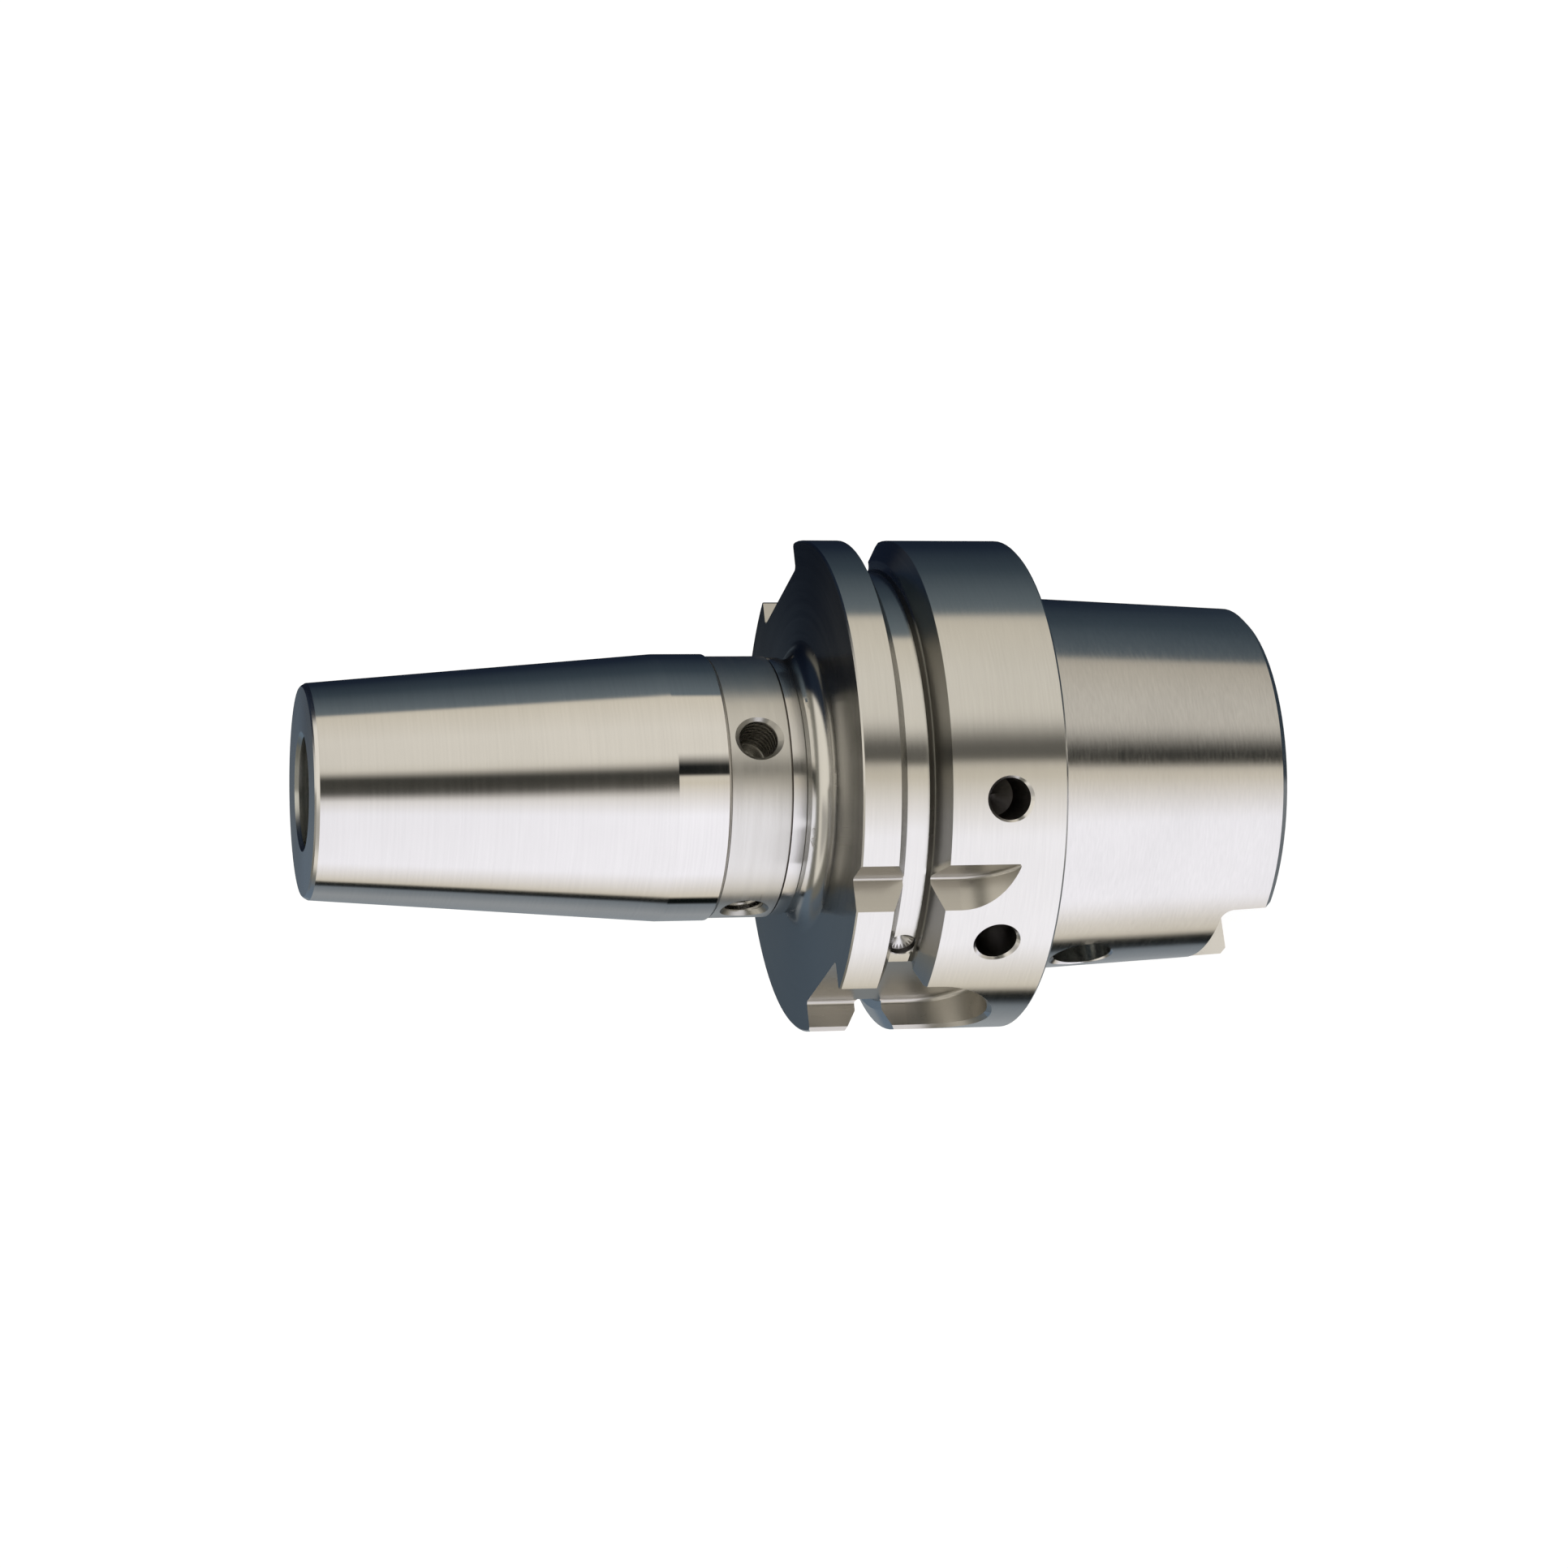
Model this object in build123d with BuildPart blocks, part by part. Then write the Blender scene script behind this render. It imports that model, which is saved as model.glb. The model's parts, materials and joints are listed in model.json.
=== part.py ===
from build123d import *
from math import radians, sqrt, tan
import os

# Shrink-fit holder with a hollow taper shank of size 63, form A, for a 14 mm tool shank.
# All lengths are in millimetres and all angles in degrees.
# z runs along the tool axis towards the nose, and z = 0 is the contact face.
# The flange keyways and the driver slots lie on the x axis.

# Hollow taper shank, outside
shank_length = 32.0
shank_gauge_diameter = 48.01
shank_gauge_depth = 6.3
shank_taper_ratio = 9.98
shank_end_chamfer_length = 0.8
shank_end_chamfer_width = 0.75
face_relief_depth = 0.3
face_relief_length = 0.9

# Hollow taper shank, inside
lip_diameter = 34.0
lip_entry_chamfer = 1.0
clamping_cone_depth = 14.13
clamping_cone_angle = 30.0
undercut_diameter = 37.0
undercut_depth = 5.5
cavity_diameter = 28.0
cavity_floor_height = 2.0
coolant_thread_diameter = 18.0
coolant_thread_pitch = 1.0
coolant_thread_length = 12.0
coolant_runout_length = 2.0
coolant_runout_depth = 0.25
coolant_passage_diameter = 7.0

# Driver slots in the shank end, and the access holes through the taper
driver_slot_width = 18.0
driver_slot_depth = 6.5
driver_slot_corner_radius = 1.5
access_hole_diameter = 7.5
access_hole_depth = 8.9
access_hole_chamfer = 0.45
access_hole_overrun = 1.0
access_hole_angles = (0.0, 180.0)

# Flange with its gripper groove
flange_diameter = 63.0
flange_width = 26.0
flange_contact_chamfer = 0.3
flange_tool_side_chamfer = 0.2
groove_height = 18.0
groove_mouth_width = 6.5
groove_flank_angle = 30.0
groove_flank_depth = 2.55
groove_depth = 4.0
groove_root_chamfer = 0.35

# Flange keyways and orientation notch
keyway_widths = (16.0, 18.0)
keyway_depth = 5.0
keyway_end_height = 5.0
keyway_root_radius = 0.6
keyway_edge_chamfer = 0.55
notch_depth = 3.2
notch_cutter_radius = 8.0
notch_cutter_height = 12.65
notch_root_radius = 0.4

# Drillings in the flange
balance_hole_diameter = 5.2
balance_hole_depth = 8.0
balance_hole_chamfer = 0.4
balance_hole_angles = (30.3, 65.4)
dimple_diameter = 3.5
dimple_depth = 0.9
dimple_chamfer = 0.15
dimple_angles = (22.5,)
data_bore_diameter = 10.0
data_bore_depth = 4.6
data_bore_chamfer = 0.3
data_bore_angles = (-90.0,)
drill_point_angle = 118.0

# Neck between the flange and the nose
neck_diameter = 32.4
neck_fillet_radius = 2.5
neck_length = 0.55
band_diameter = 33.0
band_length = 1.9
band_edge_chamfer = 0.2
neck_groove_length = 0.3
neck_groove_depth = 0.35
collar_diameter = 33.4
collar_length = 7.5

# Threaded holes for balancing screws, around the collar
balance_thread_diameter = 6.0
balance_thread_pitch = 1.0
balance_thread_depth = 8.0
balance_thread_countersink = 0.65
balance_thread_angles = (0.0, 90.0, 180.0, 270.0)

# Nose that grips the tool
nose_height = 90.0
nose_base_diameter = 34.0
nose_base_length = 6.8
nose_face_diameter = 27.0
nose_base_chamfer = 0.45
nose_edge_length = 0.62
nose_edge_break = 0.2
nose_edge_step = 0.2
bore_diameter = 14.0
bore_depth = 47.0
bore_chamfer = 0.5

# Length stop screw, turned down to the end of its adjustment
stop_screw_diameter = 10.0
stop_screw_clearance = 0.05
stop_screw_length = 16.0
stop_screw_end_chamfer = 0.8
stop_screw_socket_width = 5.0
stop_screw_socket_depth = 6.0
stop_screw_coolant_diameter = 3.5
stop_screw_end_gap = 1.0

# Dependent radii and heights of the shank
shank_end_height = -shank_length
lip_radius = lip_diameter / 2
undercut_radius = undercut_diameter / 2
cavity_radius = cavity_diameter / 2
clamping_cone_height = -clamping_cone_depth
clamping_cone_run = (undercut_radius - lip_radius) / tan(radians(clamping_cone_angle))
undercut_height = -undercut_depth
thread_core_share = 0.54
coolant_core_radius = coolant_thread_diameter / 2 - thread_core_share * coolant_thread_pitch
coolant_thread_top = cavity_floor_height + coolant_thread_length
coolant_runout_radius = coolant_thread_diameter / 2 + coolant_runout_depth
driver_slot_floor = shank_end_height + driver_slot_depth
access_hole_height = -access_hole_depth


def shank_radius(height):
    """Radius of the shank taper at a height."""
    return shank_gauge_diameter / 2 + (height + shank_gauge_depth) / (2 * shank_taper_ratio)


shank_end_radius = shank_radius(shank_end_height + shank_end_chamfer_length)
face_relief_radius = shank_radius(-face_relief_length) - face_relief_depth

# Dependent radii and heights of the flange
flange_radius = flange_diameter / 2
groove_low = groove_height - groove_mouth_width / 2
groove_high = groove_height + groove_mouth_width / 2
groove_flank_run = groove_flank_depth * tan(radians(groove_flank_angle))
groove_flank_radius = flange_radius - groove_flank_depth
groove_floor_low = groove_low + groove_flank_run
groove_floor_high = groove_high - groove_flank_run
groove_floor_radius = flange_radius - groove_depth
keyway_floor = flange_radius - keyway_depth
notch_corner = (flange_radius - notch_depth) / sqrt(2)
flange_land_middle = groove_low / 2
drill_point_slope = 1 / tan(radians(drill_point_angle / 2))

# Dependent radii and heights of the neck and the nose
neck_radius = neck_diameter / 2
band_radius = band_diameter / 2
fillet_end_height = flange_width + neck_fillet_radius
band_height = fillet_end_height + neck_length
neck_groove_height = band_height + band_length
neck_groove_radius = band_radius - neck_groove_depth
collar_radius = collar_diameter / 2
collar_height = neck_groove_height + neck_groove_length
collar_middle = collar_height + collar_length / 2
balance_core_radius = balance_thread_diameter / 2 - thread_core_share * balance_thread_pitch
nose_base_height = collar_height + collar_length
nose_base_radius = nose_base_diameter / 2
nose_face_radius = nose_face_diameter / 2
nose_taper_height = nose_base_height + nose_base_length
nose_taper_slope = (nose_base_radius - nose_face_radius) / (nose_height - nose_taper_height)
nose_edge_radius = nose_face_radius + nose_edge_length * nose_taper_slope
nose_break_radius = nose_face_radius - nose_edge_step
bore_radius = bore_diameter / 2
bore_bottom = nose_height - bore_depth
stop_hole_radius = stop_screw_diameter / 2 + stop_screw_clearance
stop_hole_top = bore_bottom - (bore_radius - stop_hole_radius)
stop_hole_bottom = bore_bottom - stop_screw_length - stop_screw_end_gap
coolant_passage_radius = coolant_passage_diameter / 2

# Half section of the body, up the outside from the shank end to the flange's tool side
lower_outline = [
    (lip_radius + lip_entry_chamfer, shank_end_height),
    (shank_end_radius - shank_end_chamfer_width, shank_end_height),
    (shank_end_radius, shank_end_height + shank_end_chamfer_length),
    (shank_radius(-face_relief_length), -face_relief_length),
    (face_relief_radius, face_relief_depth - face_relief_length),
    (face_relief_radius, 0),
    (flange_radius - flange_contact_chamfer, 0),
    (flange_radius, flange_contact_chamfer),
    (flange_radius, groove_low),
    (groove_flank_radius, groove_floor_low),
    (groove_floor_radius + groove_root_chamfer, groove_floor_low),
    (groove_floor_radius, groove_floor_low + groove_root_chamfer),
    (groove_floor_radius, groove_floor_high - groove_root_chamfer),
    (groove_floor_radius + groove_root_chamfer, groove_floor_high),
    (groove_flank_radius, groove_floor_high),
    (flange_radius, groove_high),
    (flange_radius, flange_width - flange_tool_side_chamfer),
    (flange_radius - flange_tool_side_chamfer, flange_width),
    (neck_radius + neck_fillet_radius, flange_width),
]

# Half section of the body, from the neck up to the nose and back down the inside
upper_outline = [
    (neck_radius, fillet_end_height),
    (neck_radius, band_height),
    (band_radius - band_edge_chamfer, band_height),
    (band_radius, band_height + band_edge_chamfer),
    (band_radius, neck_groove_height),
    (neck_groove_radius, neck_groove_height),
    (neck_groove_radius, collar_height),
    (collar_radius, collar_height),
    (collar_radius, nose_base_height),
    (nose_base_radius - nose_base_chamfer, nose_base_height),
    (nose_base_radius, nose_base_height + nose_base_chamfer),
    (nose_base_radius, nose_taper_height),
    (nose_edge_radius, nose_height - nose_edge_length),
    (nose_break_radius, nose_height - nose_edge_break),
    (nose_break_radius - nose_edge_break, nose_height),
    (bore_radius + bore_chamfer, nose_height),
    (bore_radius, nose_height - bore_chamfer),
    (bore_radius, bore_bottom),
    (stop_hole_radius, stop_hole_top),
    (stop_hole_radius, stop_hole_bottom),
    (coolant_passage_radius, stop_hole_bottom),
    (coolant_passage_radius, coolant_thread_top),
    (coolant_runout_radius, coolant_thread_top),
    (coolant_runout_radius, coolant_thread_top - coolant_runout_length),
    (coolant_core_radius, coolant_thread_top - coolant_runout_length),
    (coolant_core_radius, cavity_floor_height),
    (cavity_radius, cavity_floor_height),
    (cavity_radius, undercut_height + undercut_radius - cavity_radius),
    (undercut_radius, undercut_height),
    (undercut_radius, clamping_cone_height + clamping_cone_run),
    (lip_radius, clamping_cone_height),
    (lip_radius, shank_end_height + lip_entry_chamfer),
    (lip_radius + lip_entry_chamfer, shank_end_height),
]

# Keyway cutters, the path of an end mill with a rounded root, each on the +x side
keyway_cutters = []
for keyway_width in keyway_widths:
    with BuildPart() as keyway_cutter:
        with BuildSketch(Plane.YZ.offset(keyway_floor)):
            with Locations((0, keyway_end_height + keyway_width / 2)):
                Circle(keyway_width / 2)
                Rectangle(keyway_width, flange_width, align=(Align.CENTER, Align.MIN))
        extrude(amount=2 * keyway_depth)
        fillet(keyway_cutter.edges().group_by(Axis.X)[0], keyway_root_radius)
    keyway_cutters.append(keyway_cutter.part)

# Cutter for the orientation notch, the path of an end mill with a rounded root
with BuildPart() as notch_cutter:
    with BuildSketch(Plane.YZ.offset(notch_corner)):
        with Locations((notch_corner + notch_cutter_radius, notch_cutter_height)):
            Circle(notch_cutter_radius)
            Rectangle(2 * notch_cutter_radius, flange_width, align=(Align.CENTER, Align.MIN))
    extrude(amount=flange_radius)
    fillet(notch_cutter.edges().group_by(Axis.X)[0], notch_root_radius)


def hole_outline(mouth_radius, hole_radius, depth, mouth_chamfer, point_length):
    """Half section, about the x axis, of a radial hole with a chamfered mouth."""
    floor_radius = mouth_radius - depth
    return [
        (mouth_radius + mouth_chamfer, 0),
        (mouth_radius + mouth_chamfer, hole_radius + 2 * mouth_chamfer),
        (mouth_radius - mouth_chamfer, hole_radius),
        (floor_radius, hole_radius),
        (floor_radius - point_length, 0),
    ]


# Half sections of the radial holes
balance_hole_outline = hole_outline(
    flange_radius,
    balance_hole_diameter / 2,
    balance_hole_depth,
    balance_hole_chamfer,
    balance_hole_diameter / 2 * drill_point_slope,
)
dimple_outline = hole_outline(
    groove_floor_radius,
    dimple_diameter / 2,
    dimple_depth,
    dimple_chamfer,
    dimple_diameter / 2 * drill_point_slope,
)
data_bore_outline = hole_outline(
    flange_radius,
    data_bore_diameter / 2,
    data_bore_depth,
    data_bore_chamfer,
    0,
)
balance_thread_outline = hole_outline(
    collar_radius,
    balance_core_radius,
    balance_thread_depth,
    balance_thread_countersink,
    balance_core_radius * drill_point_slope,
)
access_hole_outline = hole_outline(
    shank_radius(access_hole_height),
    access_hole_diameter / 2,
    shank_radius(access_hole_height) - lip_radius + access_hole_overrun,
    access_hole_chamfer,
    0,
)

# Cutters for the radial holes, each set at its height and turned to its directions
radial_holes = [
    (balance_hole_outline, flange_land_middle, balance_hole_angles),
    (dimple_outline, groove_height, dimple_angles),
    (data_bore_outline, flange_land_middle, data_bore_angles),
    (balance_thread_outline, collar_middle, balance_thread_angles),
    (access_hole_outline, access_hole_height, access_hole_angles),
]
hole_cutters = []
for outline, height, angles in radial_holes:
    with BuildPart() as hole_cutter:
        with BuildSketch(Plane.XZ):
            with BuildLine():
                Polyline(*outline, close=True)
            make_face()
        revolve(axis=Axis.X)
    for angle in angles:
        hole_cutters.append(hole_cutter.part.moved(Location((0, 0, height), (0, 0, angle))))

# Holder body, turned, ground, milled and drilled from one piece of steel
with BuildPart() as holder_body:
    with BuildSketch(Plane.XZ):
        with BuildLine():
            Polyline(*lower_outline)
            RadiusArc(lower_outline[-1], upper_outline[0], neck_fillet_radius)
            Polyline(*upper_outline)
        make_face()
    revolve(axis=Axis.Z)

    # A keyway on each side of the flange, open to the tool side
    add(keyway_cutters[0], mode=Mode.SUBTRACT)
    add(keyway_cutters[1].rotate(Axis.Z, 180), mode=Mode.SUBTRACT)

    # Edge breaks where the straight sides of the keyways meet the rim
    keyway_edges = holder_body.edges().filter_by(Axis.Z)
    chamfer(
        keyway_edges.filter_by(lambda edge: abs(edge.center().X) > keyway_floor + 2 * keyway_root_radius),
        keyway_edge_chamfer,
    )

    # Orientation notch through the tool side of the rim, with the end mill's run-out
    add(notch_cutter.part, mode=Mode.SUBTRACT)

    # Driver slots across the shank end
    with BuildSketch(Plane.YZ):
        with Locations((0, driver_slot_floor)):
            RectangleRounded(
                driver_slot_width,
                3 * driver_slot_depth,
                driver_slot_corner_radius,
                align=(Align.CENTER, Align.MAX),
            )
    extrude(amount=flange_radius, both=True, mode=Mode.SUBTRACT)

    # Radial holes in the flange, the collar and the shank
    for hole_cutter_part in hole_cutters:
        add(hole_cutter_part, mode=Mode.SUBTRACT)

# Length stop screw, with a hexagon socket and a coolant bore
screw_radius = stop_screw_diameter / 2
screw_bottom = bore_bottom - stop_screw_length
screw_coolant_radius = stop_screw_coolant_diameter / 2
with BuildPart() as length_stop_screw:
    with BuildSketch(Plane.XZ):
        with BuildLine():
            Polyline(
                (screw_coolant_radius, screw_bottom),
                (screw_radius - stop_screw_end_chamfer, screw_bottom),
                (screw_radius, screw_bottom + stop_screw_end_chamfer),
                (screw_radius, bore_bottom - stop_screw_end_chamfer),
                (screw_radius - stop_screw_end_chamfer, bore_bottom),
                (screw_coolant_radius, bore_bottom),
                close=True,
            )
        make_face()
    revolve(axis=Axis.Z)
    with BuildSketch(Plane.XY.offset(bore_bottom)):
        RegularPolygon(stop_screw_socket_width / 2, 6, major_radius=False)
    extrude(amount=-stop_screw_socket_depth, mode=Mode.SUBTRACT)

os.makedirs("parts", exist_ok=True)
holder_body.part.label = "holder_body"
export_step(holder_body.part, "parts/holder_body.step")
length_stop_screw.part.label = "length_stop_screw"
export_step(length_stop_screw.part, "parts/length_stop_screw.step")
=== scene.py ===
"""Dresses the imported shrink-fit holder in its steel finishes and sets it in a plain studio."""

from __future__ import annotations

import json
import logging
import math
from dataclasses import astuple, dataclass
from enum import Enum
from functools import cached_property
from typing import Callable, Mapping, Sequence, Union

import bpy
from mathutils import Matrix, Vector

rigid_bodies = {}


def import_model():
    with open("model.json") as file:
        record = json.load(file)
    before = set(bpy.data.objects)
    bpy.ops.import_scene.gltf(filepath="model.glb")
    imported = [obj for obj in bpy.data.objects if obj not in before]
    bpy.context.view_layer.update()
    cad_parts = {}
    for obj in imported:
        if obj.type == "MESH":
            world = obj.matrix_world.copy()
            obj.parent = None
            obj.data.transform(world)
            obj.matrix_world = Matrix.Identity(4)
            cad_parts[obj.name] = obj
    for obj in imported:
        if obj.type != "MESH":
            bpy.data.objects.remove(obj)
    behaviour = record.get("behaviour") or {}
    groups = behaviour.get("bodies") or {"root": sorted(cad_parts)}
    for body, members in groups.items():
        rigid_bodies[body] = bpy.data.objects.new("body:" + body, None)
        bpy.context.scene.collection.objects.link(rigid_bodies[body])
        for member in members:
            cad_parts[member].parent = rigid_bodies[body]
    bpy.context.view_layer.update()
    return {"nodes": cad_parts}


LOG = logging.getLogger("shrink_fit_holder")
MM = 0.001
Colour = tuple[float, float, float]
Span = tuple[float, float]
BLACK: Colour = (0.0, 0.0, 0.0)
WHITE: Colour = (1.0, 1.0, 1.0)


def linear(red: int, green: int, blue: int, gain: float = 1.0) -> Colour:
    """Turns a display colour into light.

    Args:
        red: Display red, 0 to 255.
        green: Display green, 0 to 255.
        blue: Display blue, 0 to 255.
        gain: What the light is multiplied by.

    Returns:
        The three strengths of light.
    """
    shares = (value / 255 for value in (red, green, blue))
    return tuple(
        gain * (s / 12.92 if s <= 0.04045 else ((s + 0.055) / 1.055) ** 2.4) for s in shares
    )


class Channel:
    """A number that varies over a surface. Python's operators on it add Math nodes."""

    def __init__(self, bench: Bench, socket: bpy.types.NodeSocket) -> None:
        """Wraps an output socket of a node on the bench."""
        self.bench = bench
        self.socket = socket

    def math(self, operation: str, first: Operand, second: Operand = 0.0) -> Channel:
        """Adds one Math node.

        Args:
            operation: The node's operation.
            first: Its first operand.
            second: Its second operand.

        Returns:
            The node's result.
        """
        node = self.bench.add("Math", {"operation": operation}, {0: first, 1: second})
        return Channel(self.bench, node.outputs[0])

    def __add__(self, other: Operand) -> Channel:
        """Sum."""
        return self.math("ADD", self, other)

    __radd__ = __add__

    def __mul__(self, other: Operand) -> Channel:
        """Product."""
        return self.math("MULTIPLY", self, other)

    __rmul__ = __mul__

    def __sub__(self, other: Operand) -> Channel:
        """Difference."""
        return self.math("SUBTRACT", self, other)

    def __rsub__(self, other: Operand) -> Channel:
        """Difference from a number."""
        return self.math("SUBTRACT", other, self)

    def __truediv__(self, other: Operand) -> Channel:
        """Quotient."""
        return self.math("DIVIDE", self, other)

    def __pow__(self, other: Operand) -> Channel:
        """Power."""
        return self.math("POWER", self, other)

    def __abs__(self) -> Channel:
        """Size without its sign."""
        return self.math("ABSOLUTE", self)

    def clamped(self) -> Channel:
        """The number held between 0 and 1."""
        return self.math("MINIMUM", self.math("MAXIMUM", self, 0.0), 1.0)

    def smooth(self, start: float, end: float) -> Channel:
        """Rises softly from 0 to 1.

        Args:
            start: Where the rise starts.
            end: Where it ends.

        Returns:
            The share, 0 to 1.
        """
        values = {"Value": self, 1: start, 2: end}
        node = self.bench.add("MapRange", {"interpolation_type": "SMOOTHSTEP"}, values)
        return Channel(self.bench, node.outputs[0])


Operand = Union[Channel, float]


class Bench:
    """Builds one node tree."""

    def __init__(self, tree: bpy.types.NodeTree) -> None:
        """Clears the tree."""
        self.tree = tree
        tree.nodes.clear()

    def add(
        self,
        kind: str,
        settings: Mapping[str, object] | None = None,
        values: Mapping[Union[str, int], object] | None = None,
    ) -> bpy.types.Node:
        """Adds a node.

        Args:
            kind: The node's type, without the words ShaderNode.
            settings: What is set on the node itself. The entry stops fills a colour ramp.
            values: Numbers, colours or links for its sockets.

        Returns:
            The node.
        """
        node = self.tree.nodes.new("ShaderNode" + kind)
        for name, value in (settings or {}).items():
            if name == "stops":
                self.fill_ramp(node.color_ramp, value)
            else:
                setattr(node, name, value)
        for name, value in (values or {}).items():
            socket = node.inputs[name]
            source = getattr(value, "socket", value)
            if isinstance(source, bpy.types.NodeSocket):
                self.tree.links.new(source, socket)
            elif isinstance(source, tuple) and socket.type == "RGBA":
                socket.default_value = (*source, 1.0)
            else:
                socket.default_value = source
        return node

    @staticmethod
    def fill_ramp(ramp: bpy.types.ColorRamp, stops: Sequence[tuple[float, Colour]]) -> None:
        """Gives a colour ramp its stops.

        Args:
            ramp: The ramp.
            stops: Place and colour of each stop, in rising order.
        """
        while len(ramp.elements) > 1:
            ramp.elements.remove(ramp.elements[-1])
        for number, (place, colour) in enumerate(stops):
            stop = ramp.elements[0] if number == 0 else ramp.elements.new(place)
            stop.position = place
            stop.color = (*colour, 1.0)

    def split(self, vector: bpy.types.NodeSocket) -> tuple[Channel, Channel, Channel]:
        """The three coordinates of a vector."""
        node = self.add("SeparateXYZ", None, {0: vector})
        return tuple(Channel(self, output) for output in node.outputs)

    def joined(self, coordinates: Sequence[Operand]) -> bpy.types.NodeSocket:
        """The vector of three coordinates."""
        return self.add("CombineXYZ", None, dict(enumerate(coordinates))).outputs[0]

    def place(self, output: str) -> bpy.types.NodeSocket:
        """A coordinate of the Texture Coordinate node."""
        return self.add("TexCoord").outputs[output]

    def noise(self, vector: Sequence[Operand], scale: float, detail: float) -> Channel:
        """Cloudy noise.

        Args:
            vector: The three coordinates that it is read at.
            scale: How fine it is.
            detail: How many finer layers it has.

        Returns:
            The noise, about 0.5 on average.
        """
        values = {"Vector": self.joined(vector), "Scale": scale, "Detail": detail}
        return Channel(self, self.add("TexNoise", None, values).outputs[0])

    def mix(self, share: Operand, first: object, second: object) -> bpy.types.NodeSocket:
        """Blends two colours.

        Args:
            share: How much of the second is taken.
            first: Colour or link.
            second: Colour or link.

        Returns:
            The blend.
        """
        node = self.add("Mix", {"data_type": "RGBA"}, {0: share, 6: first, 7: second})
        return node.outputs[2]

    def choose(
        self, share: Operand, first: bpy.types.Node, second: bpy.types.Node
    ) -> bpy.types.Node:
        """Blends two shaders.

        Args:
            share: How much of the second is taken.
            first: A shader.
            second: The other shader.

        Returns:
            The blend.
        """
        shaders = {0: share, 1: first.outputs[0], 2: second.outputs[0]}
        return self.add("MixShader", None, shaders)


class Lay(Enum):
    """The direction in which a tool left its marks."""

    AROUND = "around the tool axis"
    ALONG = "along the tool axis"
    THREAD_X = "thread about the x axis"
    THREAD_Y = "thread about the y axis"
    THREAD_Z = "thread about the z axis"


@dataclass(frozen=True)
class Wear:
    """How much the tool's marks, their wider bands and the clouds of a surface count."""

    marks: float
    bands: float = 0.0
    clouds: float = 0.0

    def of(self, marks: Channel, bands: Channel, clouds: Channel) -> Channel:
        """Adds up the three noises, each taken about its mean.

        Args:
            marks: The noise of the marks.
            bands: The noise of the bands.
            clouds: The noise of the clouds.

        Returns:
            The sum, about 0 on average.
        """
        shares = ((marks, self.marks), (bands, self.bands), (clouds, self.clouds))
        first, *others = ((noise - 0.5) * share for noise, share in shares if share)
        return sum(others, start=first)


# What the noises do to roughness and tone, how fine they are beside the tool's marks, and how
# much of the relief they and the threads make.
ROUGHNESS_WEAR = Wear(1.4, 0.8, 0.7)
TONE_WEAR = Wear(1.2, clouds=1.2)
BAND_SCALE = 0.31
CLOUD_SCALE = 0.09
MARK_RELIEF, BAND_RELIEF = 0.7, 0.3
THREAD_RELIEF, THREAD_MARKS = 0.5, 0.05
THREAD_DEPTH = 0.2
TRUED_SLANT: Span = (0.08, 0.04)
QUARTER_TURN = 0.25


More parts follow.
